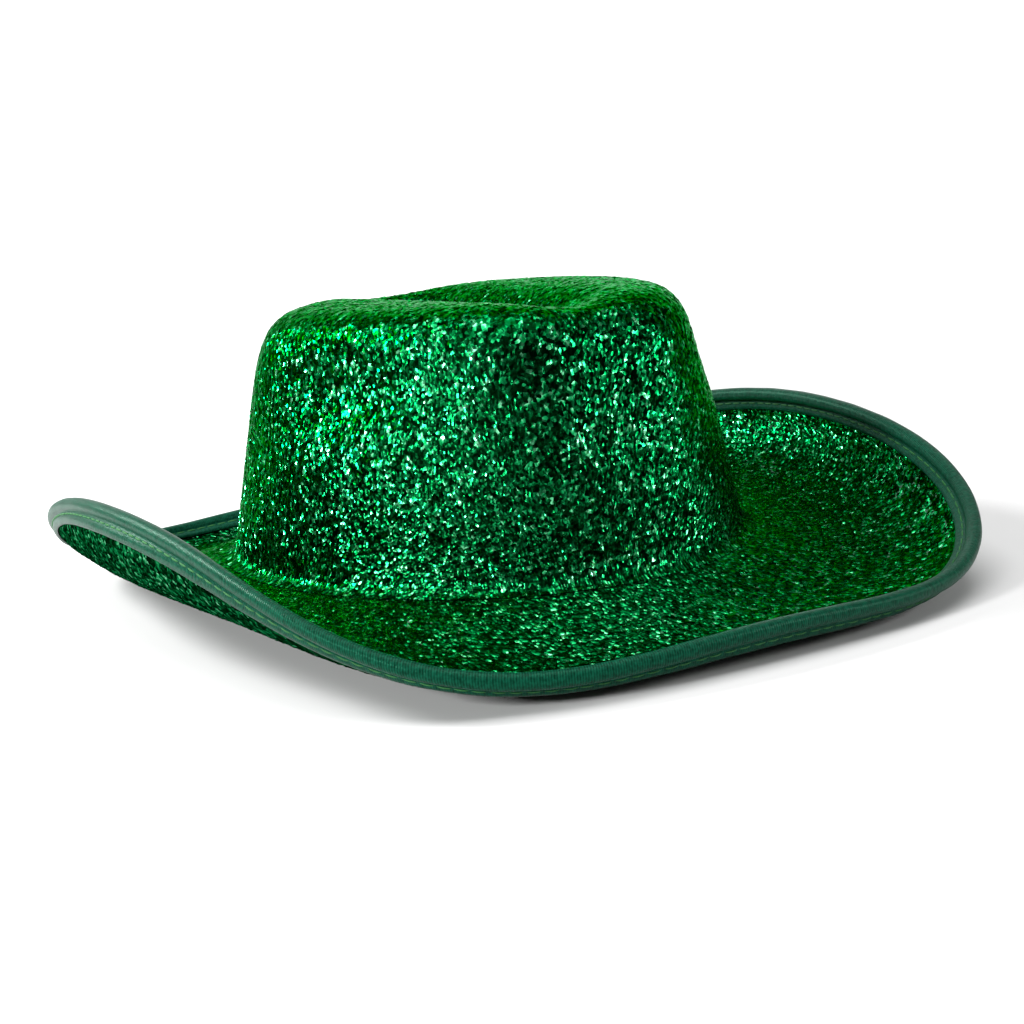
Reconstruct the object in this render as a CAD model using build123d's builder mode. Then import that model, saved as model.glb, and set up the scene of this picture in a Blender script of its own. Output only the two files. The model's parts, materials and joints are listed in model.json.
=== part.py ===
from build123d import *
import math
import os

# Cowboy hat in tinsel knit over stiff forms, with a wired, satin-bound brim rolled up at both sides.
# Millimetres. +Z up, front of the hat towards -Y, wearer's left towards +X.

# ---------------------------------------------------------------- driving dimensions
HEAD_HALF_WIDTH = 86.5        # crown outline at the brim, half width
HEAD_HALF_LENGTH = 105.0      # crown outline at the brim, half length
BREAK_HEIGHT = 16.74          # height of the line where the brim leaves the crown
CROWN_HEIGHT = 88.5           # from that line to the top ridges
CROWN_SIDE_TAPER = 0.20       # how much the crown narrows from the brim to the top
CROWN_FRONT_TAPER = -0.12     # the front wall stands steeper
CROWN_BACK_TAPER = 0.09       # the back wall slopes more
CREASE_DEPTH = 14.0           # centre crease of the crown
CREASE_HALF_WIDTH = 14.0
SHOULDER = 10.0               # higher is a tighter bend from wall to top
PINCH_DEPTH = 5.0             # side dents towards the front

BRIM_WIDTH = 78.8             # mean width of the cut brim, crown to rim
BRIM_QUARTER_EXTRA = 4.3      # wider at the quarters
BRIM_DROP = 13.9              # degrees the brim falls as it leaves the crown
BRIM_DROP_EXTRA = 14.7         # falls more at front and back, less at the sides
BRIM_ROLL = 97.8              # degrees the brim turns up from crown to rim
BRIM_ROLL_SIDE = 29.2         # turns up more at the sides
BRIM_ROLL_POWER = 2.7         # how late across the width it turns up
REST_HEIGHT = 1.18            # height of the brim's middle layer where the hat stands
BREAK_SOFTNESS = 2.0          # length over which the brim bends away from the crown

KNIT = 0.7                    # tinsel knit
FORM = 1.5                    # stiff crown form
CORE = 1.4                    # stiff brim core
GAP = 0.2                     # between layers
BINDING_REACH = 10.4          # width of the satin binding on each face
BINDING = 0.6                 # folded satin thickness
BEAD_SETBACK = 2.5            # wire centre from the rim
WIRE_RADIUS = 0.9
SLEEVE_RADIUS = 1.3
SLEEVE_ANGLE = 4.2            # degrees the sleeve covers each side of the back
THREAD_RADIUS = 0.3
STITCH_SETBACK = 5.9          # binding stitch row from the rim
SHEET_SETBACK = 5.2           # edge of the brim layers from the rim
SWEATBAND = 1.0
SWEATBAND_TOP = 31.0          # above the break line
SWEATBAND_FOOT = -1.6
TAPE = 0.4
TAPE_TOP = 12.0

SECTIONS = 40                 # sections round the brim
GRID = 60                     # spans across the crown surface

COVER_TOP = CORE / 2 + GAP + KNIT
CROWN_FOOT = COVER_TOP + GAP
FORM_OUTSIDE = KNIT + GAP
FORM_INSIDE = FORM_OUTSIDE + FORM
TAPE_OUTSIDE = FORM_INSIDE + GAP
BAND_OUTSIDE = TAPE_OUTSIDE + TAPE + GAP
BAND_INSIDE = BAND_OUTSIDE + SWEATBAND

os.makedirs("parts", exist_ok=True)


# ---------------------------------------------------------------- shared shape of the hat
def ease(v):
    v = min(1.0, max(0.0, v))
    return v * v * v * (v * (6.0 * v - 15.0) + 10.0)


def facing(t):
    """Outward direction of the crown outline at angle t."""
    nx = HEAD_HALF_LENGTH * math.cos(t)
    ny = HEAD_HALF_WIDTH * math.sin(t)
    n = math.hypot(nx, ny)
    return nx / n, ny / n, n


def section_plane(t):
    """Upright plane square to the crown outline; local x points outward, local y up."""
    nx, ny, n = facing(t)
    foot = (HEAD_HALF_WIDTH * math.cos(t), HEAD_HALF_LENGTH * math.sin(t), BREAK_HEIGHT)
    return Plane(origin=foot, x_dir=(nx, ny, 0), z_dir=(ny, -nx, 0))


def brim_width(t):
    return BRIM_WIDTH - BRIM_QUARTER_EXTRA * math.cos(4 * t) + 2.0 * math.cos(6 * t) - 0.6 * math.cos(2 * t)


def brim_slope(t, m):
    """Slope of the brim, in radians, m millimetres out from the crown."""
    drop = BRIM_DROP - BRIM_DROP_EXTRA * math.cos(2 * t)
    roll = BRIM_ROLL + BRIM_ROLL_SIDE * math.cos(2 * t) + 17.3 * math.cos(4 * t) - 7.5 * math.cos(6 * t)
    if m <= 0.0:
        return 0.0
    fall = drop * (1.0 - math.exp(-m / BREAK_SOFTNESS))
    return math.radians(roll * (m / brim_width(t)) ** BRIM_ROLL_POWER - fall)


def brim_point(t, m, off):
    """Point of the section m millimetres out from the crown and off above the middle layer."""
    steps = 48
    x = min(m, 0.0)
    z = 0.0
    reach = max(m, 0.0)
    for i in range(steps):
        a = brim_slope(t, reach * ((i + 0.5) / steps) ** 2)
        piece = reach * (2.0 * i + 1.0) / steps ** 2
        x += piece * math.cos(a)
        z += piece * math.sin(a)
    a = brim_slope(t, m)
    x -= off * math.sin(a)
    z += off * math.cos(a)
    rest = REST_HEIGHT - BREAK_HEIGHT + off
    z = 0.5 * (z + rest + math.hypot(z - rest, 1.2))
    return x, z


def crown_taper(t):
    front = max(0.0, -math.sin(t))
    back = max(0.0, math.sin(t))
    return CROWN_SIDE_TAPER + CROWN_FRONT_TAPER * front ** 2 + CROWN_BACK_TAPER * back ** 2


def crown_point(p, q):
    """Outer face of the crown; (p, q) runs over the unit disc, rim of the disc = foot of the crown."""
    r = math.hypot(p, q)
    t = math.atan2(q, p)
    c = math.cos((1.0 - r) * math.pi / 2)
    s = math.sin((1.0 - r) * math.pi / 2)
    k = (c ** SHOULDER + s ** SHOULDER) ** (1.0 / SHOULDER)
    rise = s / k
    spread = c / k * (1.0 - crown_taper(t) * rise)
    x = HEAD_HALF_WIDTH * math.cos(t) * spread
    y = HEAD_HALF_LENGTH * math.sin(t) * spread
    z = CROWN_FOOT + (CROWN_HEIGHT - CROWN_FOOT) * rise
    length = ease((75.0 - y) / 45.0) * (0.35 + 0.65 * ease((y + 95.0) / 60.0))
    z -= CREASE_DEPTH * math.exp(-(x / CREASE_HALF_WIDTH) ** 2) * ease((rise - 0.45) / 0.5) * length
    dent = math.exp(-((y + 40.0) / 28.0) ** 2 - ((rise - 0.72) / 0.17) ** 2)
    x -= math.copysign(PINCH_DEPTH, x) * dent * ease(abs(x) / 30.0)
    hollow = math.exp(-(x / 18.0) ** 2 - ((rise - 0.75) / 0.33) ** 2) * ease((-y - 30.0) / 30.0)
    y += 4.0 * hollow
    return Vector(x, y, BREAK_HEIGHT + z)


def crown_inside(p, q, depth):
    """The same face moved inward by depth; its foot stays level."""
    e = 0.004
    across = crown_point(p + e, q) - crown_point(p - e, q)
    along = crown_point(p, q + e) - crown_point(p, q - e)
    shift = across.cross(along).normalized() * depth
    level = ease(4.0 * (1.0 - math.hypot(p, q)))
    return crown_point(p, q) - Vector(shift.X, shift.Y, shift.Z * level)


def crown_face(depth):
    rows = []
    for i in range(GRID + 1):
        row = []
        for j in range(GRID + 1):
            u = 2.0 * i / GRID - 1.0
            v = 2.0 * j / GRID - 1.0
            p = u * math.sqrt(1.0 - v * v / 2.0)
            q = v * math.sqrt(1.0 - u * u / 2.0)
            row.append(crown_inside(p, q, depth))
        rows.append(row)
    return Face.make_surface_from_array_of_points(rows, tol=0.05)


def crown_layer(outside, inside):
    """Closed shell of the crown between two depths below its outer face."""
    outer = crown_face(outside)
    inner = crown_face(inside)
    edge = Face(Wire(outer.edges()), [Wire(inner.edges())])
    return Solid(Shell([outer, inner, edge]))


def wall_lean(t, z):
    """How far the crown wall leans inward at height z above the break line."""
    nx, ny, n = facing(t)
    rise = max(0.0, z - CROWN_FOOT) / (CROWN_HEIGHT - CROWN_FOOT)
    return crown_taper(t) * rise * HEAD_HALF_WIDTH * HEAD_HALF_LENGTH / n


def angles(start, stop, count):
    return [math.radians(start + (stop - start) * i / count) for i in range(count + 1)]


def loft_ring(section):
    """Closed ring through one section after another, all the way round."""
    faces = [section(t) for t in angles(0, 360, SECTIONS)[:-1]]
    loft(sections=faces + faces[:1])


def sheet_section(t, low, high, inner, setback):
    """Section of a brim layer between two offsets from the middle layer."""
    outer = brim_width(t) - setback
    places = [inner + (outer - inner) * (i / 13.0) ** 1.25 for i in range(14)]
    top = [brim_point(t, m, high) for m in places]
    under = [brim_point(t, m, low) for m in reversed(places)]
    with BuildSketch(section_plane(t)) as profile:
        with BuildLine():
            Spline(*top)
            Line(top[-1], under[0])
            Spline(*under)
            Line(under[-1], top[0])
        make_face()
    return profile.sketch.faces()[0]


def thread_section(t, x, y, radius):
    """Round section drawn as two curved halves."""
    turns = angles(0, 180, 6)
    upper = [(x + radius * math.cos(a), y + radius * math.sin(a)) for a in turns]
    lower = [(x - radius * math.cos(a), y - radius * math.sin(a)) for a in turns]
    with BuildSketch(section_plane(t)) as profile:
        with BuildLine():
            Spline(*upper, tangents=((0, 1), (0, -1)))
            Spline(*lower, tangents=((0, -1), (0, 1)))
        make_face()
    return profile.sketch.faces()[0]


def wall_section(t, outside, inside, foot, top):
    """Section of a band lying against the inside of the crown wall, with the wall's bend at its foot."""
    heights = [foot, top]
    if foot < CROWN_FOOT < top:
        heights = [foot, CROWN_FOOT, top]
    against = [(-outside - wall_lean(t, z), z) for z in heights]
    within = [(-inside - wall_lean(t, z), z) for z in reversed(heights)]
    with BuildSketch(section_plane(t)) as profile:
        with BuildLine():
            Polyline(*against, *within, close=True)
        make_face()
    return profile.sketch.faces()[0]


def binding_section(t):
    """Satin folded over the rim: two flaps and a round nose with room for the wire."""
    w = brim_width(t)
    lift = COVER_TOP + GAP
    skin = lift + BINDING
    over = [(BINDING_REACH, skin), (8.0, skin), (5.8, skin - 0.25), (4.0, 2.45), (2.4, 2.5), (0.7, 1.75)]
    fold = [(BINDING_REACH, lift), (8.0, lift), (5.0, lift), (2.5, 1.55)]
    outside = [brim_point(t, w - b, h) for b, h in over]
    outside += [brim_point(t, w, 0.0)]
    outside += [brim_point(t, w - b, -h) for b, h in reversed(over)]
    within = [brim_point(t, w - b, -h) for b, h in fold]
    within += [brim_point(t, w - 0.95, 0.0)]
    within += [brim_point(t, w - b, h) for b, h in reversed(fold)]
    with BuildSketch(section_plane(t)) as profile:
        with BuildLine():
            Spline(*outside)
            Line(outside[-1], within[0])
            Spline(*within)
            Line(within[-1], outside[0])
        make_face()
    return profile.sketch.faces()[0]


def rim_section(t, radius):
    x, y = brim_point(t, brim_width(t) - BEAD_SETBACK, 0.0)
    return thread_section(t, x, y, radius)


def save(part, label):
    part.label = label
    export_step(part, "parts/" + label + ".step")


# ---------------------------------------------------------------- crown
# Tinsel knit stretched over the crown form.
with BuildPart() as crown_cover:
    add(crown_layer(0.0, KNIT))
save(crown_cover.part, "crown_cover")

# Stiff moulded form that holds the crease and the pinched front.
with BuildPart() as crown_form:
    add(crown_layer(FORM_OUTSIDE, FORM_INSIDE))
save(crown_form.part, "crown_form")


# ---------------------------------------------------------------- brim layers
# Stiff sheet in the middle of the brim.
with BuildPart() as brim_core:
    loft_ring(lambda t: sheet_section(t, -CORE / 2, CORE / 2, -FORM_INSIDE, SHEET_SETBACK))
save(brim_core.part, "brim_core")

# Tinsel knit on the upper face of the brim.
with BuildPart() as brim_top_cover:
    loft_ring(lambda t: sheet_section(t, COVER_TOP - KNIT, COVER_TOP, -FORM_INSIDE, SHEET_SETBACK))
save(brim_top_cover.part, "brim_top_cover")

# Tinsel knit on the under face of the brim.
with BuildPart() as brim_under_cover:
    loft_ring(lambda t: sheet_section(t, -COVER_TOP, KNIT - COVER_TOP, -FORM_INSIDE, SHEET_SETBACK))
save(brim_under_cover.part, "brim_under_cover")


# ---------------------------------------------------------------- rim
# Satin bias binding folded over the rim.
with BuildPart() as edge_binding:
    loft_ring(binding_section)
save(edge_binding.part, "edge_binding")

# Spring wire inside the nose of the binding, ends meeting at the back.
with BuildPart() as edge_wire:
    loft(sections=[rim_section(t, WIRE_RADIUS) for t in angles(449.8, 90.2, 2 * SECTIONS)])
save(edge_wire.part, "edge_wire")

# Crimped tube over the two wire ends.
with BuildPart() as wire_sleeve:
    sleeve_angles = angles(90.0 - SLEEVE_ANGLE, 90.0 + SLEEVE_ANGLE, 4)
    loft(sections=[rim_section(t, SLEEVE_RADIUS) for t in sleeve_angles])
    loft(sections=[rim_section(t, WIRE_RADIUS + 0.2) for t in sleeve_angles], mode=Mode.SUBTRACT)
save(wire_sleeve.part, "wire_sleeve")


# ---------------------------------------------------------------- threads
def binding_thread(t, side):
    skin = COVER_TOP + GAP + BINDING + 0.1
    x, y = brim_point(t, brim_width(t) - STITCH_SETBACK, side * skin)
    return thread_section(t, x, y, THREAD_RADIUS)


def base_thread(t):
    x, y = brim_point(t, 3.0, -COVER_TOP - THREAD_RADIUS - 0.1)
    return thread_section(t, x, y, THREAD_RADIUS)


def band_thread(t):
    x = -BAND_INSIDE - THREAD_RADIUS - 0.1 - wall_lean(t, 2.0)
    return thread_section(t, x, 2.0, THREAD_RADIUS)


# Stitch row on the upper face of the binding.
with BuildPart() as binding_stitching_top:
    loft_ring(lambda t: binding_thread(t, 1.0))
save(binding_stitching_top.part, "binding_stitching_top")

# Stitch row on the under face of the binding.
with BuildPart() as binding_stitching_under:
    loft_ring(lambda t: binding_thread(t, -1.0))
save(binding_stitching_under.part, "binding_stitching_under")

# Stitch row that joins crown and brim, seen on the under face.
with BuildPart() as base_seam_stitching:
    loft_ring(base_thread)
save(base_seam_stitching.part, "base_seam_stitching")

# Stitch row along the foot of the sweatband.
with BuildPart() as sweatband_stitching:
    loft_ring(band_thread)
save(sweatband_stitching.part, "sweatband_stitching")


# ---------------------------------------------------------------- inside the crown
# Tape over the crown-to-brim joint, behind the sweatband.
with BuildPart() as base_seam_tape:
    loft_ring(lambda t: wall_section(t, TAPE_OUTSIDE, TAPE_OUTSIDE + TAPE, SWEATBAND_FOOT, TAPE_TOP))
save(base_seam_tape.part, "base_seam_tape")

# Sweatband round the head opening.
with BuildPart() as sweatband:
    loft_ring(lambda t: wall_section(t, BAND_OUTSIDE, BAND_INSIDE, SWEATBAND_FOOT, SWEATBAND_TOP))
save(sweatband.part, "sweatband")

# Short tape over the join of the sweatband, at the back.
with BuildPart() as sweatband_back_tab:
    tab_face = BAND_INSIDE + GAP
    tab_angles = angles(86.0, 94.0, 4)
    loft(sections=[wall_section(t, tab_face, tab_face + 0.5, 4.0, SWEATBAND_TOP - 2.0) for t in tab_angles])
save(sweatband_back_tab.part, "sweatband_back_tab")

# Blank size label sewn to the sweatband.
with BuildPart() as size_label:
    label_face = BAND_INSIDE + GAP
    label_angles = angles(101.0, 115.0, 6)
    loft(sections=[wall_section(t, label_face, label_face + 0.3, 9.0, 23.0) for t in label_angles])
save(size_label.part, "size_label")
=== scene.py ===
import bpy
import json
import math
import numpy as np
from mathutils import Matrix, Vector

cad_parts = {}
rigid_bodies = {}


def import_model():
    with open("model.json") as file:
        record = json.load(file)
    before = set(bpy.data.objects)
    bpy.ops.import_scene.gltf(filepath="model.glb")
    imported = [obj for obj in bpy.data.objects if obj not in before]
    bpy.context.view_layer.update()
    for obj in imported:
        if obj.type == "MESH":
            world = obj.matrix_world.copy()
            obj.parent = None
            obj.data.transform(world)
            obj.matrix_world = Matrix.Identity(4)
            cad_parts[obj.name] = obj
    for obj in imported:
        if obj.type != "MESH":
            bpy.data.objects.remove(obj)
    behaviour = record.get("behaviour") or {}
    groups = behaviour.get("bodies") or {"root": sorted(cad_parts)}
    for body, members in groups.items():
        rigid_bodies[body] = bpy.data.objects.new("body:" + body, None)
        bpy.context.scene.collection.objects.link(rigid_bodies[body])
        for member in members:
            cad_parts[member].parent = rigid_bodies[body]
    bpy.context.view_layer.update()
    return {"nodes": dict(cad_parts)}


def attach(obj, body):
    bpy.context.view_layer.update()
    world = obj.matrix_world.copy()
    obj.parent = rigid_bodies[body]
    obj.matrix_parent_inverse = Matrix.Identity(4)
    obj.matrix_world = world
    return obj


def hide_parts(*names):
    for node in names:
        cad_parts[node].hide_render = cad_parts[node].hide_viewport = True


# Green tinsel cowboy hat. The covers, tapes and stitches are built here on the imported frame.
for leftover in list(bpy.data.objects):
    bpy.data.objects.remove(leftover)
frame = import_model()
rng = np.random.default_rng(7)
MM = 0.001
TAU = 2.0 * math.pi

# ---------------------------------------------------------------- the hat's shape, in millimetres
# x is to the wearer's left, y to the back; t is the angle round the head, 90 degrees at the back;
# m is the distance out from the crown, measured along the brim.
HALF_WIDTH = 86.5            # crown outline where it meets the brim
HALF_LENGTH = 105.0
BREAK = 16.74                # height of the line where the brim leaves the crown
REST = 1.18                  # height of the brim's middle layer where the hat stands
REST_BLEND = 1.2             # how softly the brim flattens onto the floor
COVER_TOP = 1.6              # from the brim's middle layer to the face of its cover
FOOT = 1.8                   # from the break line up to the bottom edge of the crown

BRIM_WIDTH = 78.8            # mean width, crown to rim
BRIM_QUARTER_WIDTH = 4.3     # wider at the quarters
BRIM_SIXTH_WIDTH = 2.0       # and a little more at the sides, less at front and back
BRIM_SIDE_WIDTH = 0.6        # narrower at the sides
BRIM_DROP = 13.9             # degrees that the brim falls as it leaves the crown
BRIM_DROP_EXTRA = 14.7       # falls more at front and back, less at the sides
BREAK_SOFTNESS = 2.0         # length over which it falls
BRIM_ROLL = 97.8             # degrees that the brim turns up from crown to rim
BRIM_ROLL_SIDE = 29.2        # turns up more at the sides
BRIM_ROLL_QUARTER = 17.3
BRIM_ROLL_SIXTH = 7.5
BRIM_ROLL_POWER = 2.7        # how late across the width it turns up
BRIM_STEPS = 48              # steps of the sum along the brim's width

CROWN = 88.5                 # from the break line to the top
SHOULDER = 10.0              # higher is a tighter bend from wall to top
SIDE_TAPER = 0.20            # how much the crown narrows from the brim to the top
FRONT_TAPER = -0.12          # the front wall stands steeper
BACK_TAPER = 0.09            # the back wall slopes more
CREASE_DEPTH = 14.0
CREASE_HALF_WIDTH = 14.0
CREASE_BACK = 75.0           # the crease starts here
CREASE_BACK_FADE = 45.0      # and is at its deepest after this length
CREASE_FRONT = -95.0         # it all but closes here
CREASE_FRONT_FADE = 60.0
CREASE_AT_FRONT = 0.12       # the share of its depth that is left there
CREASE_LOWEST = 0.45         # it bends only the part above this share of the crown's height
CREASE_BLEND = 0.5
DENT_DEPTH = 5.0             # pinch in each side, towards the front
DENT_PLACE = -40.0
DENT_LENGTH = 28.0
DENT_RISE = 0.72             # as a share of the crown's height
DENT_HEIGHT = 0.17
DENT_FADE = 30.0             # nothing on the middle line, all of it this far out
HOLLOW_DEPTH = 4.0           # shallow hollow in the middle of the front
HOLLOW_HALF_WIDTH = 18.0
HOLLOW_RISE = 0.75
HOLLOW_HEIGHT = 0.33
HOLLOW_START = 30.0          # forward of the middle
HOLLOW_FADE = 30.0


def ease(v):
    v = np.clip(v, 0.0, 1.0)
    return v * v * v * (v * (6.0 * v - 15.0) + 10.0)


def facing(t):
    """Outward direction of the head oval at angle t, and the length that made it a unit."""
    nx, ny = HALF_LENGTH * np.cos(t), HALF_WIDTH * np.sin(t)
    n = np.hypot(nx, ny)
    return nx / n, ny / n, n


def brim_width(t):
    quarters = BRIM_QUARTER_WIDTH * np.cos(4 * t)
    sixths = BRIM_SIXTH_WIDTH * np.cos(6 * t)
    return BRIM_WIDTH - quarters + sixths - BRIM_SIDE_WIDTH * np.cos(2 * t)


def brim_slope(t, m):
    """Slope of the brim, in radians."""
    drop = BRIM_DROP - BRIM_DROP_EXTRA * np.cos(2 * t)
    roll = BRIM_ROLL + BRIM_ROLL_SIDE * np.cos(2 * t)
    roll = roll + BRIM_ROLL_QUARTER * np.cos(4 * t) - BRIM_ROLL_SIXTH * np.cos(6 * t)
    out = np.maximum(m, 0.0)
    turned = roll * (out / brim_width(t)) ** BRIM_ROLL_POWER
    return np.radians(turned - drop * (1.0 - np.exp(-out / BREAK_SOFTNESS)))


def brim_section(t, m, off):
    """Distance out from the crown outline and height above the break line, off above the middle layer."""
    reach = np.maximum(m, 0.0)
    x = np.minimum(m, 0.0) + 0.0 * t
    z = np.zeros_like(x)
    for i in range(BRIM_STEPS):
        a = brim_slope(t, reach * ((i + 0.5) / BRIM_STEPS) ** 2)
        piece = reach * (2.0 * i + 1.0) / BRIM_STEPS ** 2
        x = x + piece * np.cos(a)
        z = z + piece * np.sin(a)
    a = brim_slope(t, m)
    x = x - off * np.sin(a)
    z = z + off * np.cos(a)
    rest = REST - BREAK + off
    return x, 0.5 * (z + rest + np.hypot(z - rest, REST_BLEND))


def place(t, x, z):
    """A point x out from the head oval and z above the break line."""
    nx, ny, _ = facing(t)
    across = HALF_WIDTH * np.cos(t) + nx * x
    back = HALF_LENGTH * np.sin(t) + ny * x
    return np.stack([across, back, BREAK + z + 0 * x], -1)


def brim_at(t, m, off):
    return place(t, *brim_section(t, m, off))


def crown_taper(t):
    front, back = np.maximum(0, -np.sin(t)), np.maximum(0, np.sin(t))
    return SIDE_TAPER + FRONT_TAPER * front ** 2 + BACK_TAPER * back ** 2


def crown_at(p, q):
    """The crown's outside over a unit disc: the rim of the disc is the foot, its centre the top."""
    r, t = np.hypot(p, q), np.arctan2(q, p)
    c, s = np.cos((1 - r) * math.pi / 2), np.sin((1 - r) * math.pi / 2)
    k = (c ** SHOULDER + s ** SHOULDER) ** (1.0 / SHOULDER)
    rise = s / k
    spread = c / k * (1 - crown_taper(t) * rise)
    x, y = HALF_WIDTH * np.cos(t) * spread, HALF_LENGTH * np.sin(t) * spread
    z = FOOT + (CROWN - FOOT) * rise
    opening = CREASE_AT_FRONT + (1 - CREASE_AT_FRONT) * ease((y - CREASE_FRONT) / CREASE_FRONT_FADE)
    along = ease((CREASE_BACK - y) / CREASE_BACK_FADE) * opening
    high = ease((rise - CREASE_LOWEST) / CREASE_BLEND)
    z = z - CREASE_DEPTH * np.exp(-(x / CREASE_HALF_WIDTH) ** 2) * high * along
    dent = np.exp(-((y - DENT_PLACE) / DENT_LENGTH) ** 2 - ((rise - DENT_RISE) / DENT_HEIGHT) ** 2)
    x = x - np.sign(x) * DENT_DEPTH * dent * ease(np.abs(x) / DENT_FADE)
    hollow = np.exp(-(x / HOLLOW_HALF_WIDTH) ** 2 - ((rise - HOLLOW_RISE) / HOLLOW_HEIGHT) ** 2)
    hollow = hollow * ease((-y - HOLLOW_START) / HOLLOW_FADE)
    return np.stack([x, y + HOLLOW_DEPTH * hollow, BREAK + z], -1)


def disc_grid(count):
    """A square grid of count spans bent into a unit disc."""
    u = np.linspace(-1, 1, count + 1)
    u, v = np.meshgrid(u, u, indexing="ij")
    return u * np.sqrt(1 - v * v / 2), v * np.sqrt(1 - u * u / 2)


def angles(count):
    """A number of even angles all the way round."""
    return np.linspace(0, TAU, count, endpoint=False)


def wall_lean(t, z):
    """How far the crown wall has come in at height z above the break line."""
    stretch = facing(t)[2]
    return crown_taper(t) * np.maximum(0, z - FOOT) / (CROWN - FOOT) * HALF_WIDTH * HALF_LENGTH / stretch


# ---------------------------------------------------------------- mesh helpers
# What makes up the height of the knit; the four shares add up to one.
LOOP_PART = 0.30
COURSE_PART = 0.15
WALE_PART = 0.10
STRAND_PART = 0.45


def make_mesh(name, points, faces, smooth=True):
    """A mesh piece from points in millimetres."""
    mesh = bpy.data.meshes.new(name)
    mesh.from_pydata([tuple(p) for p in points.reshape(-1, 3) * MM], [], faces)
    mesh.update()
    mesh.polygons.foreach_set("use_smooth", [smooth] * len(mesh.polygons))
    piece = bpy.data.objects.new(name, mesh)
    bpy.context.scene.collection.objects.link(piece)
    return piece


def grid_faces(rows, columns, wrap_rows=False, wrap_columns=False):
    """Four-sided faces over a grid of points, closed round on itself where it wraps."""
    i = np.arange(rows - (not wrap_rows))
    j = np.arange(columns - (not wrap_columns))
    i, j = np.meshgrid(i, j, indexing="ij")
    a = i * columns + j
    b = ((i + 1) % rows) * columns + j
    c = ((i + 1) % rows) * columns + (j + 1) % columns
    d = i * columns + (j + 1) % columns
    return np.stack([a, b, c, d], -1).reshape(-1, 4).tolist()


def normals_of(points, wrap_rows):
    """Unit normals of a grid of points."""
    if wrap_rows:
        du = np.roll(points, -1, 0) - np.roll(points, 1, 0)
    else:
        du = np.gradient(points, axis=0)
    dv = np.gradient(points, axis=1)
    n = np.cross(du, dv)
    return n / np.maximum(np.linalg.norm(n, axis=-1, keepdims=True), 1e-9)


def nubs(shape, row_pitch, column_pitch):
    """Heights of the knit over a grid, 0 to 1: rows of loops of uneven height, and loose strands."""
    i, j = np.meshgrid(np.arange(shape[0]), np.arange(shape[1]), indexing="ij")
    loops = rng.random((shape[0] // 2 + 3, shape[1] // 2 + 3))
    loop = loops[(i / column_pitch).astype(int), (j / row_pitch).astype(int)]
    course = 0.5 + 0.5 * np.cos(TAU * j / row_pitch)
    wale = 0.5 + 0.5 * np.cos(TAU * i / column_pitch + math.pi * ((j / row_pitch).astype(int) % 2))
    strand = rng.random(shape)
    return LOOP_PART * loop + COURSE_PART * course + WALE_PART * wale + STRAND_PART * strand


def store(piece, name, values):
    """Keep one value per point for the materials to read."""
    layer = piece.data.attributes.new(name, "FLOAT", "POINT")
    layer.data.foreach_set("value", values.astype(np.float32).ravel())


def finish_piece(piece, material, slot_name, *nodes):
    piece.data.materials.append(material)
    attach(piece, "root")
    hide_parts(*nodes)


# ---------------------------------------------------------------- materials
FLECKS_PER_METRE = 820.0
FLECK_SHADE = 0.62           # how much the fleck's own chance sets its green
LOOP_PAINTED_SHADE = 0.75            # and how much the loop's height does: painted shade, darker where the loops sit low
SHADE_OFFSET = -0.18
FOIL_ROUGHNESS = 0.24
RIB_PITCH = 0.8              # millimetres between the ribs of the satin
RIB_SHADE = 0.16
FOIL_GREENS = [              # darkest to brightest fleck
    (0.00, (0.0001, 0.003, 0.0007)),
    (0.36, (0.0002, 0.015, 0.0032)),
    (0.60, (0.0006, 0.086, 0.0190)),
    (0.80, (0.0100, 0.380, 0.1150)),
    (1.00, (0.2800, 0.950, 0.5200)),
]


def new_material(name):
    material = bpy.data.materials.new(name)
    material.use_nodes = True
    tree = material.node_tree
    return material, tree, tree.nodes["Principled BSDF"]


def add_node(tree, kind, **settings):
    node = tree.nodes.new(kind)
    for key, value in settings.items():
        setattr(node, key, value)
    return node


def ramp(tree, source, stops):
    """Colour from a value, through (place, colour) stops."""
    node = add_node(tree, "ShaderNodeValToRGB")
    elements = node.color_ramp.elements
    while len(elements) < len(stops):
        elements.new(0.5)
    for element, (at, colour) in zip(elements, stops):
        element.position = at
        element.color = (*colour, 1.0)
    tree.links.new(source, node.inputs["Fac"])
    return node.outputs["Color"]


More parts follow.
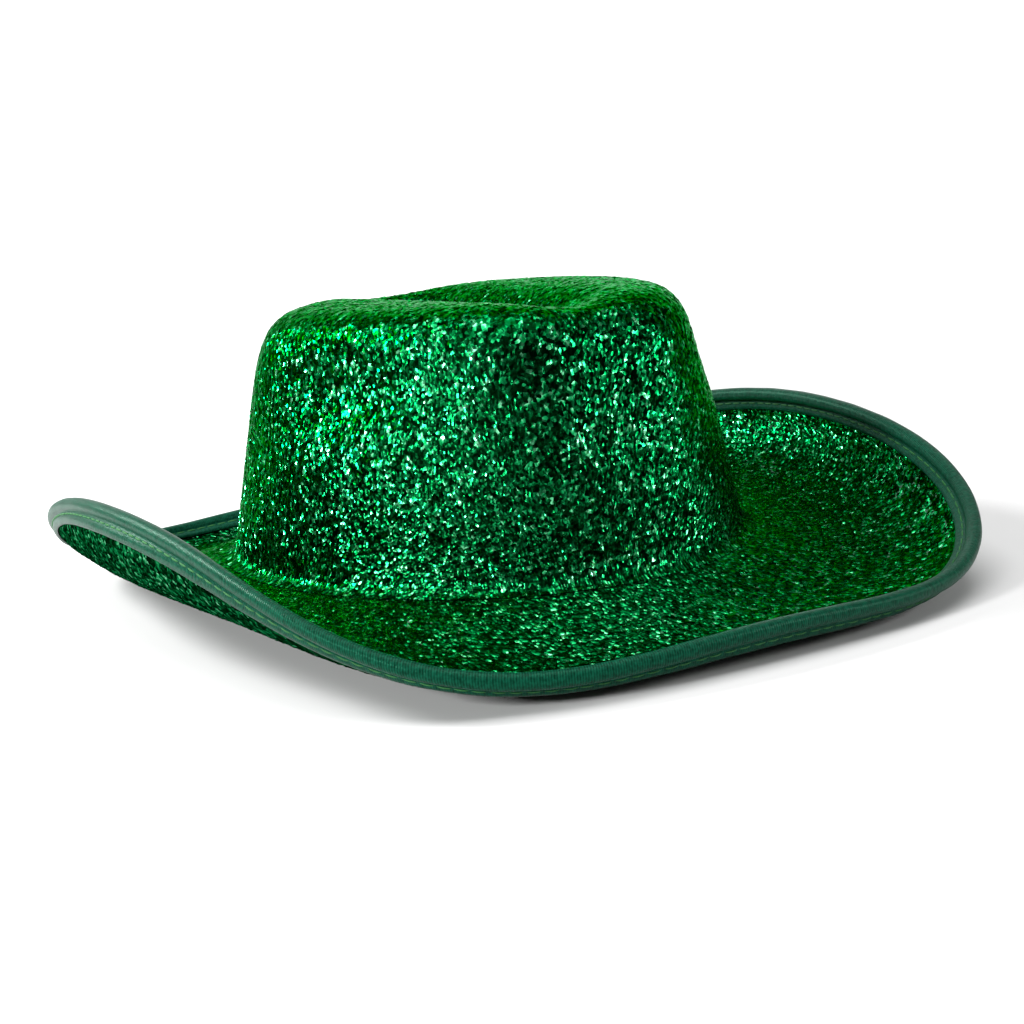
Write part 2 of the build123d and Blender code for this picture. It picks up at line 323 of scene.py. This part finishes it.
def tinsel_material(name, foil, metallic, tilt, gloss):
    """Knitted foil: flecks of many greens, each at its own tilt, with painted shade where the loops sit low.
    foil scales how bright they are.
    """
    material, tree, shader = new_material(name)
    link = tree.links.new
    where = add_node(tree, "ShaderNodeTexCoord").outputs["Object"]
    flecks = add_node(tree, "ShaderNodeTexVoronoi")
    flecks.inputs["Scale"].default_value = FLECKS_PER_METRE
    link(where, flecks.inputs["Vector"])
    parts = add_node(tree, "ShaderNodeSeparateColor")
    link(flecks.outputs["Color"], parts.inputs["Color"])
    # painted shade: the lower a loop of the knit sits, the darker its green, standing for shade in the pits
    # between loops
    height = add_node(tree, "ShaderNodeAttribute", attribute_name="nub")
    shade = add_node(tree, "ShaderNodeMath", operation="MULTIPLY_ADD")
    link(parts.outputs["Red"], shade.inputs[0])
    shade.inputs[1].default_value = FLECK_SHADE
    pit_shade = add_node(tree, "ShaderNodeMath", operation="MULTIPLY_ADD")
    link(height.outputs["Fac"], pit_shade.inputs[0])
    pit_shade.inputs[1].default_value = LOOP_PAINTED_SHADE
    pit_shade.inputs[2].default_value = SHADE_OFFSET
    link(pit_shade.outputs[0], shade.inputs[2])
    colour = ramp(tree, shade.outputs[0], [(at, tuple(foil * c for c in shown)) for at, shown in FOIL_GREENS])
    link(colour, shader.inputs["Base Color"])
    shader.inputs["Metallic"].default_value = metallic
    shader.inputs["Specular IOR Level"].default_value = gloss
    shader.inputs["Roughness"].default_value = FOIL_ROUGHNESS
    shader.inputs["Specular Tint"].default_value = (0.05, 0.62, 0.20, 1.0)
    # each fleck of foil lies at its own tilt
    centred = add_node(tree, "ShaderNodeVectorMath", operation="SUBTRACT")
    link(flecks.outputs["Color"], centred.inputs[0])
    centred.inputs[1].default_value = (0.5, 0.5, 0.5)
    scaled = add_node(tree, "ShaderNodeVectorMath", operation="SCALE")
    link(centred.outputs[0], scaled.inputs[0])
    scaled.inputs["Scale"].default_value = tilt
    face = add_node(tree, "ShaderNodeNewGeometry")
    tilted = add_node(tree, "ShaderNodeVectorMath", operation="ADD")
    link(face.outputs["Normal"], tilted.inputs[0])
    link(scaled.outputs[0], tilted.inputs[1])
    unit = add_node(tree, "ShaderNodeVectorMath", operation="NORMALIZE")
    link(tilted.outputs[0], unit.inputs[0])
    link(unit.outputs[0], shader.inputs["Normal"])
    return material


def cloth_material(name, dark, light, weave, roughness, sheen=0.0, depth=0.15):
    """Woven or felted cloth: a fine grain in its colour and its surface."""
    material, tree, shader = new_material(name)
    link = tree.links.new
    where = add_node(tree, "ShaderNodeTexCoord").outputs["Object"]
    grain = add_node(tree, "ShaderNodeTexNoise")
    grain.inputs["Scale"].default_value = weave
    grain.inputs["Detail"].default_value = 4.0
    link(where, grain.inputs["Vector"])
    link(ramp(tree, grain.outputs["Fac"], [(0.3, dark), (0.7, light)]), shader.inputs["Base Color"])
    shader.inputs["Roughness"].default_value = roughness
    shader.inputs["Specular IOR Level"].default_value = 0.2
    shader.inputs["Sheen Weight"].default_value = sheen
    bump = add_node(tree, "ShaderNodeBump")
    bump.inputs["Strength"].default_value = depth
    bump.inputs["Distance"].default_value = 0.0004
    link(grain.outputs["Fac"], bump.inputs["Height"])
    link(bump.outputs[0], shader.inputs["Normal"])
    return material


def satin_material():
    """Satin bias tape: fine ribs across the rim, with a green shine."""
    material, tree, shader = new_material("satin")
    link = tree.links.new
    along = add_node(tree, "ShaderNodeAttribute", attribute_name="along")
    rib = add_node(tree, "ShaderNodeMath", operation="SINE")
    times = add_node(tree, "ShaderNodeMath", operation="MULTIPLY")
    link(along.outputs["Fac"], times.inputs[0])
    times.inputs[1].default_value = TAU / RIB_PITCH
    link(times.outputs[0], rib.inputs[0])
    where = add_node(tree, "ShaderNodeTexCoord").outputs["Object"]
    grain = add_node(tree, "ShaderNodeTexNoise")
    grain.inputs["Scale"].default_value = 900.0
    link(where, grain.inputs["Vector"])
    mixed = add_node(tree, "ShaderNodeMath", operation="MULTIPLY_ADD")
    link(rib.outputs[0], mixed.inputs[0])
    mixed.inputs[1].default_value = RIB_SHADE
    link(grain.outputs["Fac"], mixed.inputs[2])
    colour = ramp(tree, mixed.outputs[0], [(0.25, (0.0010, 0.018, 0.009)), (0.75, (0.0040, 0.066, 0.036))])
    link(colour, shader.inputs["Base Color"])
    shader.inputs["Roughness"].default_value = 0.34
    shader.inputs["Specular IOR Level"].default_value = 0.10
    shader.inputs["Specular Tint"].default_value = (0.20, 1.0, 0.60, 1.0)
    bump = add_node(tree, "ShaderNodeBump")
    bump.inputs["Strength"].default_value = 0.5
    bump.inputs["Distance"].default_value = 0.0003
    link(mixed.outputs[0], bump.inputs["Height"])
    link(bump.outputs[0], shader.inputs["Normal"])
    return material


def metal_material(name, colour, roughness):
    material, tree, shader = new_material(name)
    link = tree.links.new
    where = add_node(tree, "ShaderNodeTexCoord").outputs["Object"]
    grain = add_node(tree, "ShaderNodeTexNoise")
    grain.inputs["Scale"].default_value = 700.0
    link(where, grain.inputs["Vector"])
    dull = tuple(0.8 * c for c in colour)
    link(ramp(tree, grain.outputs["Fac"], [(0.3, dull), (0.7, colour)]), shader.inputs["Base Color"])
    shader.inputs["Metallic"].default_value = 1.0
    shader.inputs["Roughness"].default_value = roughness
    return material


tinsel = tinsel_material("tinsel_knit", foil=0.98, metallic=1.0, tilt=0.38, gloss=0.5)
# the underside's knit: a matte copy with its greens darkened to about a third of the top's, painted shade
# under the brim
tinsel_under_painted_shade = tinsel_material("tinsel_knit_under_painted_shade", foil=0.3, metallic=0.0, tilt=0.5, gloss=0.0)
satin = satin_material()
felt = cloth_material(
    "stiff_felt", (0.008, 0.045, 0.025), (0.020, 0.085, 0.048), weave=500.0, roughness=0.9, sheen=0.2)
tape_cloth = cloth_material(
    "cotton_tape", (0.010, 0.060, 0.034), (0.020, 0.110, 0.060), weave=1400.0, roughness=0.8)
band_cloth = cloth_material(
    "sweatband_cloth", (0.006, 0.035, 0.020), (0.015, 0.070, 0.040), weave=1200.0, roughness=0.7, sheen=0.2)
label_cloth = cloth_material(
    "label_satin", (0.62, 0.62, 0.58), (0.80, 0.80, 0.76), weave=1500.0, roughness=0.5, depth=0.05)
thread = cloth_material(
    "sewing_thread", (0.012, 0.090, 0.020), (0.035, 0.150, 0.045), weave=2500.0, roughness=0.6)
steel = metal_material("spring_wire", (0.56, 0.57, 0.58), roughness=0.35)
brass = metal_material("crimp_metal", (0.76, 0.60, 0.32), roughness=0.3)
# these three CAD parts are shown as they are, so they only get a material
for node_name, material in (("brim_core", felt), ("edge_wire", steel), ("wire_sleeve", brass)):
    cad = frame["nodes"][node_name]
    cad.data.materials.clear()
    cad.data.materials.append(material)


# ---------------------------------------------------------------- tinsel knit covers
KNIT_BASE = 0.3              # the loops stand up from this far below the cover's face
TURN_HEIGHT = 6.0            # the crown's knit turns out over this height
TURN_REACH = 4.2
SHEET_START = -0.6           # the brim covers start just inside the crown
SHEET_SETBACK = 5.2          # and stop this far from the rim, under the binding


def knit_cover(name, points, wrap_rows, up, row_pitch, column_pitch, reach, node):
    """Tinsel knit over a grid of points; up is 1 for an upper face and -1 for an under face."""
    height = nubs(points.shape[:2], row_pitch, column_pitch)
    n = normals_of(points, wrap_rows) * up
    shaken = points + n * (reach * height)[..., None]
    faces = grid_faces(*points.shape[:2], wrap_rows)
    if up < 0:
        faces = [f[::-1] for f in faces]
    piece = make_mesh(name, shaken, faces, smooth=False)
    store(piece, "nub", height)
    # under faces take the darkened copy of the knit: painted shade
    finish_piece(piece, tinsel if up > 0 else tinsel_under_painted_shade, "tinsel_knit", node)
    return piece


def crown_cover():
    """Knit over the crown."""
    p, q = disc_grid(300)
    points = crown_at(p, q)
    # the foot of the knit turns out and is sewn down into the brim
    low = np.clip(1 - (points[..., 2] - BREAK - FOOT) / TURN_HEIGHT, 0, 1) ** 2
    sewn = brim_at(np.arctan2(q, p), TURN_REACH * low, COVER_TOP - KNIT_BASE - 0.5 * low)
    points += (sewn - points) * low[..., None]
    piece = knit_cover(
        "crown_tinsel", points, wrap_rows=False, up=1.0,
        row_pitch=3.0, column_pitch=3.0, reach=0.62, node="crown_cover")


def brim_cover(name, side, node):
    """Knit over the top of the brim (side 1) or its underside (side -1)."""
    t = angles(960)[:, None]
    across = np.linspace(0, 1, 96)[None, :]
    outer = brim_width(t) - SHEET_SETBACK
    m = SHEET_START + (outer - SHEET_START) * across
    points = brim_at(t + 0 * m, m, side * (COVER_TOP - KNIT_BASE))
    piece = knit_cover(
        name, points, wrap_rows=True, up=side,
        row_pitch=3.2, column_pitch=2.6, reach=0.7, node=node)


crown_cover()
brim_cover("brim_tinsel_top", 1.0, "brim_top_cover")
brim_cover("brim_tinsel_under", -1.0, "brim_under_cover")


# ---------------------------------------------------------------- crown form, seen from inside
FELT_DEPTH = 1.6             # from the crown's outside to the middle of the felt
FELT = 1.4


def crown_shell():
    """The stiff felt under the crown's knit."""
    count = 120
    p, q = disc_grid(count)
    points = crown_at(p, q)
    n = normals_of(points, False)
    # near the foot the felt goes in level, so that its edge stays flat
    n[..., 2] *= ease(4 * (1 - np.hypot(p, q)))
    piece = make_mesh("crown_felt", points - FELT_DEPTH * n, grid_faces(count + 1, count + 1))
    solid = piece.modifiers.new("thickness", "SOLIDIFY")
    solid.thickness = FELT * MM
    solid.offset = 0.0
    finish_piece(piece, felt, "stiff_felt", "crown_form")


crown_shell()


# ---------------------------------------------------------------- satin binding and its stitches
BEAD_RADIUS = 2.62
BEAD_SETBACK = 2.45          # centre of the bead from the rim
RIPPLE = 0.03                # how much the tape's thickness wavers, as a share
RIPPLES = 46                 # waves round the rim
RIPPLE_SWELLS = 7            # they grow and die away this often
STITCH_SETBACK = 5.7         # stitched groove from the rim
STITCH_LIFT = 2.0            # thread's height over the middle layer there
STITCH_SIDES = 8
STITCH_RINGS = 9
STITCH_FLATNESS = 0.6        # thickness of the thread as a share of its width
STITCH_BLUNTNESS = 0.35      # lower keeps the thread thick nearer its ends
STITCH_ARCH = 0.9            # how far the middle comes out, in radii
STITCH_SINK = 0.75           # and how far the ends go in
STITCH_UNEVENNESS = 0.15     # each stitch starts up to this share of the pitch late
PATH_POINTS = 900
SEAM_REACH = 3.0             # base seam: out from the crown, on the underside of the brim
SEAM_LIFT = 2.1              # and this far below the middle layer


def nose_outline():
    """Outline of the binding across the rim: distance in from the rim, height above the middle layer."""
    flat = [(9.0, 1.45), (8.9, 2.05), (8.4, 2.36), (7.5, 2.42), (6.7, 2.30), (6.2, 2.02)]
    groove = [(STITCH_SETBACK, 1.86), (5.2, 1.96)]
    inner = [(math.cos(a), math.sin(a)) for a in np.linspace(math.radians(28), math.pi / 2, 6)]
    outer = [(-math.sin(a), math.cos(a)) for a in np.linspace(0.3, math.pi / 2, 5)]
    bead = [(BEAD_SETBACK + BEAD_RADIUS * b, BEAD_RADIUS * h) for b, h in inner + outer]
    half = flat + groove + bead
    return np.array(half + [(b, -h) for b, h in reversed(half[:-1])])


def binding():
    """Folded satin tape with a bead along the rim."""
    outline = nose_outline()
    columns = 1400
    rim = len(outline) // 2
    t = angles(columns)[:, None]
    b, h = outline[:, 0][None, :], outline[:, 1][None, :]
    ripple = 1.0 + RIPPLE * np.sin(RIPPLES * t) * np.sin(RIPPLE_SWELLS * t + 1.0)
    m = brim_width(t) - b
    points = brim_at(t + 0 * m, m, h * ripple)
    piece = make_mesh("satin_binding", points, grid_faces(columns, len(outline), True))
    step = np.linalg.norm(np.roll(points[:, rim], -1, 0) - points[:, rim], axis=-1)
    along = np.concatenate([[0], np.cumsum(step)[:-1]])
    store(piece, "along", np.repeat(along[:, None], len(outline), 1))
    finish_piece(piece, satin, "satin", "edge_binding")


def stitch(line, up, radius, first):
    """Points and faces of one stitch, a thread that comes up out of the cloth and goes down again."""
    ahead = np.gradient(line, axis=0)
    ahead /= np.linalg.norm(ahead, axis=-1, keepdims=True)
    side = np.cross(ahead, up)
    arch = np.sin(math.pi * np.linspace(0.04, 0.96, STITCH_RINGS))
    size = radius * arch ** STITCH_BLUNTNESS
    centre = line + up * (radius * (STITCH_ARCH * arch ** 0.6 - STITCH_SINK))[:, None]
    verts, faces = [], []
    for r in range(STITCH_RINGS):
        for a in np.linspace(0, TAU, STITCH_SIDES, endpoint=False):
            spoke = math.cos(a) * side[r] + STITCH_FLATNESS * math.sin(a) * up[r]
            verts.append(centre[r] + size[r] * spoke)
    for r in range(STITCH_RINGS - 1):
        near = first + r * STITCH_SIDES
        far = near + STITCH_SIDES
        for a in range(STITCH_SIDES):
            b = (a + 1) % STITCH_SIDES
            faces.append((near + a, near + b, far + b, far + a))
    last = first + (STITCH_RINGS - 1) * STITCH_SIDES
    faces.append(tuple(first + a for a in reversed(range(STITCH_SIDES))))
    faces.append(tuple(last + a for a in range(STITCH_SIDES)))
    return verts, faces


def dashes(name, path, length, gap, radius, node):
    """Stitches one after another along a closed path of points, with the way out of the cloth at each."""
    points, out = path
    step = np.linalg.norm(np.roll(points, -1, 0) - points, axis=-1)
    run = np.concatenate([[0], np.cumsum(step)])
    count = int(run[-1] / (length + gap))
    pitch = run[-1] / count
    closed = np.vstack([points, points[:1]])
    closed_out = np.vstack([out, out[:1]])
    verts, faces = [], []
    for k in range(count):
        here = (k + STITCH_UNEVENNESS * rng.random()) * pitch
        s = here + np.linspace(0, 1, STITCH_RINGS) * length
        s = s % run[-1]
        line = np.stack([np.interp(s, run, closed[:, c]) for c in range(3)], -1)
        up = np.stack([np.interp(s, run, closed_out[:, c]) for c in range(3)], -1)
        up /= np.linalg.norm(up, axis=-1, keepdims=True)
        more_verts, more_faces = stitch(line, up, radius, len(verts))
        verts += more_verts
        faces += more_faces
    piece = make_mesh(name, np.array(verts), faces)
    finish_piece(piece, thread, "sewing_thread", node)


def rim_path(side):
    """Along the groove of the binding, on the top (side 1) or the underside (side -1)."""
    t = angles(PATH_POINTS)
    m = brim_width(t) - STITCH_SETBACK
    low = brim_at(t, m, side * (STITCH_LIFT - 0.5))
    here = brim_at(t, m, side * STITCH_LIFT)
    out = here - low
    return here, out / np.linalg.norm(out, axis=-1, keepdims=True)


def wall_path(depth, z):
    """Round the inside of the crown, this deep in from its outline."""
    t = angles(PATH_POINTS)
    here = place(t, -depth - wall_lean(t, z), z)
    nx, ny, _ = facing(t)
    return here, np.stack([-nx, -ny, 0 * nx], -1)


def base_path():
    """Round the crown on the underside of the brim."""
    t = angles(PATH_POINTS)
    here = brim_at(t, SEAM_REACH + 0 * t, -SEAM_LIFT + 0 * t)
    return here, brim_at(t, SEAM_REACH + 0 * t, -SEAM_LIFT - 1.0 + 0 * t) - here


binding()
dashes("stitches_top", rim_path(1.0), length=4.0, gap=1.0, radius=0.34, node="binding_stitching_top")
dashes("stitches_under", rim_path(-1.0), length=4.0, gap=1.0, radius=0.34, node="binding_stitching_under")
dashes("stitches_base", base_path(), length=4.0, gap=1.4, radius=0.40, node="base_seam_stitching")
dashes("stitches_band", wall_path(4.3, 2.0), length=3.4, gap=1.2, radius=0.36, node="sweatband_stitching")


# ---------------------------------------------------------------- bands inside the crown
BAND_POINTS = 15             # points up each face of a band
BAND_EDGE = 0.25             # lower is a squarer edge


def band(name, depths, heights, sector, columns, material, slot_name, node):
    """A band with rounded edges against the inside of the crown wall.

    depths are in from the crown outline, heights are above the break line, and sector is in degrees."""
    start, stop = sector
    foot, top = heights
    outside, inside = depths
    whole = stop - start > 359
    t = np.radians(np.linspace(start, stop, columns, endpoint=not whole))[:, None]
    mid, half = (outside + inside) / 2, (inside - outside) / 2
    rise = np.concatenate([np.linspace(0, 1, BAND_POINTS), np.linspace(1, 0, BAND_POINTS)])[None, :]
    face = np.concatenate([np.full(BAND_POINTS, -1.0), np.full(BAND_POINTS, 1.0)])[None, :]
    edge = np.sin(math.pi * np.clip(rise, 0.01, 0.99)) ** BAND_EDGE
    z = foot + (top - foot) * rise + 0 * t
    x = -(mid + half * face * edge) - wall_lean(t + 0 * z, z)
    points = place(t + 0 * z, x, z)
    around = 2 * BAND_POINTS
    faces = grid_faces(columns, around, whole, True)
    if not whole:
        faces.append(tuple(range(around)))
        faces.append(tuple(reversed(range((columns - 1) * around, columns * around))))
    piece = make_mesh(name, points, faces)
    finish_piece(piece, material, slot_name, node)


WHOLE = (0, 360)
band(
    "seam_tape", depths=(2.6, 3.0), heights=(-1.6, 12.0), sector=WHOLE, columns=360,
    material=tape_cloth, slot_name="cotton_tape", node="base_seam_tape")
band(
    "sweat_band", depths=(3.2, 4.2), heights=(-1.6, 31.0), sector=WHOLE, columns=360,
    material=band_cloth, slot_name="sweatband_cloth", node="sweatband")
band(
    "back_tab", depths=(4.4, 4.9), heights=(4.0, 29.0), sector=(86, 94), columns=24,
    material=tape_cloth, slot_name="cotton_tape", node="sweatband_back_tab")
band(
    "blank_label", depths=(4.4, 4.7), heights=(9.0, 23.0), sector=(101, 115), columns=36,
    material=label_cloth, slot_name="label_satin", node="size_label")


# ---------------------------------------------------------------- floor, light and camera
# Metres from here on. Azimuth 0 is straight in front, and grows towards the wearer's left.
PAPER_NEAR = -4.0
PAPER_WALL = 3.0
PAPER_TOP = 3.0
PAPER_BEND = 1.0
PAPER_HALF_WIDTH = 5.0
PAPER_TURN = -29.0           # degrees, to stand square behind the hat in the photo's view
CAMERA_AZIMUTH = -28.84
CAMERA_ELEVATION = 10.30
CAMERA_ROLL = -5.38
CAMERA_DISTANCE = 0.6771
LENS = 66.44                 # millimetres, on a sensor 36 wide
AIM_HEIGHT = 0.0651
AIM_RIGHT = 0.0147
AIM_DOWN = 0.0389


def studio():
    """A sheet of paper: a floor that bends up into a wall."""
    floor = bpy.data.meshes.new("floor")
    flat = PAPER_WALL - PAPER_BEND
    bend = np.linspace(0.1, math.pi / 2, 12)
    profile = [(PAPER_NEAR, 0.0), (flat, 0.0)]
    profile += [(flat + PAPER_BEND * math.sin(a), PAPER_BEND * (1.0 - math.cos(a))) for a in bend]
    profile += [(PAPER_WALL, PAPER_TOP)]
    verts = [(x, y, z) for y, z in profile for x in (-PAPER_HALF_WIDTH, PAPER_HALF_WIDTH)]
    faces = [(2 * i, 2 * i + 1, 2 * i + 3, 2 * i + 2) for i in range(len(profile) - 1)]
    floor.from_pydata(verts, [], faces)
    floor.polygons.foreach_set("use_smooth", [True] * len(floor.polygons))
    sweep = bpy.data.objects.new("floor", floor)
    sweep.rotation_euler = (0, 0, math.radians(PAPER_TURN))
    bpy.context.scene.collection.objects.link(sweep)
    material, _, shader = new_material("studio_paper")
    shader.inputs["Base Color"].default_value = (0.64, 0.64, 0.64, 1)
    shader.inputs["Roughness"].default_value = 0.9
    shader.inputs["Specular IOR Level"].default_value = 0.1
    floor.materials.append(material)


def direction(azimuth, elevation):
    """The way from the hat to a light or the camera, from angles in radians."""
    level = math.cos(elevation)
    return Vector((math.sin(azimuth) * level, -math.cos(azimuth) * level, math.sin(elevation)))


def softbox(name, azimuth, elevation, distance, size, power, aim=(0, 0, 0.06)):
    """A rectangular lamp that faces its aim; angles in degrees."""
    light = bpy.data.lights.new(name, "AREA")
    light.shape = "RECTANGLE"
    light.size, light.size_y = size
    light.energy = power
    lamp = bpy.data.objects.new(name, light)
    away = direction(math.radians(azimuth), math.radians(elevation))
    lamp.location = Vector(aim) + away * distance
    lamp.rotation_euler = away.to_track_quat("Z", "Y").to_euler()
    bpy.context.scene.collection.objects.link(lamp)


def camera():
    """The view of the photo."""
    azimuth, elevation = math.radians(CAMERA_AZIMUTH), math.radians(CAMERA_ELEVATION)
    roll = math.radians(CAMERA_ROLL)
    back = direction(azimuth, elevation)
    level = Vector((math.cos(azimuth), math.sin(azimuth), 0.0))
    above = back.cross(level)
    right = level * math.cos(roll) + above * math.sin(roll)
    up = above * math.cos(roll) - level * math.sin(roll)
    data = bpy.data.cameras.new("camera")
    data.sensor_width = 36.0
    data.lens = LENS
    data.clip_end = 50.0
    view = bpy.data.objects.new("camera", data)
    aim = Vector((0, 0, AIM_HEIGHT)) + right * AIM_RIGHT - up * AIM_DOWN
    turn = Matrix((right, up, back)).transposed().to_4x4()
    view.matrix_world = Matrix.Translation(aim + back * CAMERA_DISTANCE) @ turn
    bpy.context.scene.collection.objects.link(view)
    bpy.context.scene.camera = view


studio()
softbox("key", azimuth=-74, elevation=18, distance=1.3, size=(0.20, 0.22), power=18)
softbox("side", azimuth=-134, elevation=33, distance=1.3, size=(0.36, 0.34), power=26)
softbox("top", azimuth=-29, elevation=86, distance=1.7, size=(1.7, 1.7), power=32)
softbox("fill", azimuth=52, elevation=18, distance=1.4, size=(0.20, 0.40), power=8)
softbox("backdrop", azimuth=-29, elevation=30, distance=2.0, size=(2.6, 0.8), power=80,
        aim=(1.50, 2.70, 0.65))
camera()
world = bpy.data.worlds.new("studio")
world.use_nodes = True
world.node_tree.nodes["Background"].inputs["Color"].default_value = (1, 1, 1, 1)
world.node_tree.nodes["Background"].inputs["Strength"].default_value = 0.14
bpy.context.scene.world = world
bpy.context.scene.view_settings.view_transform = "Standard"
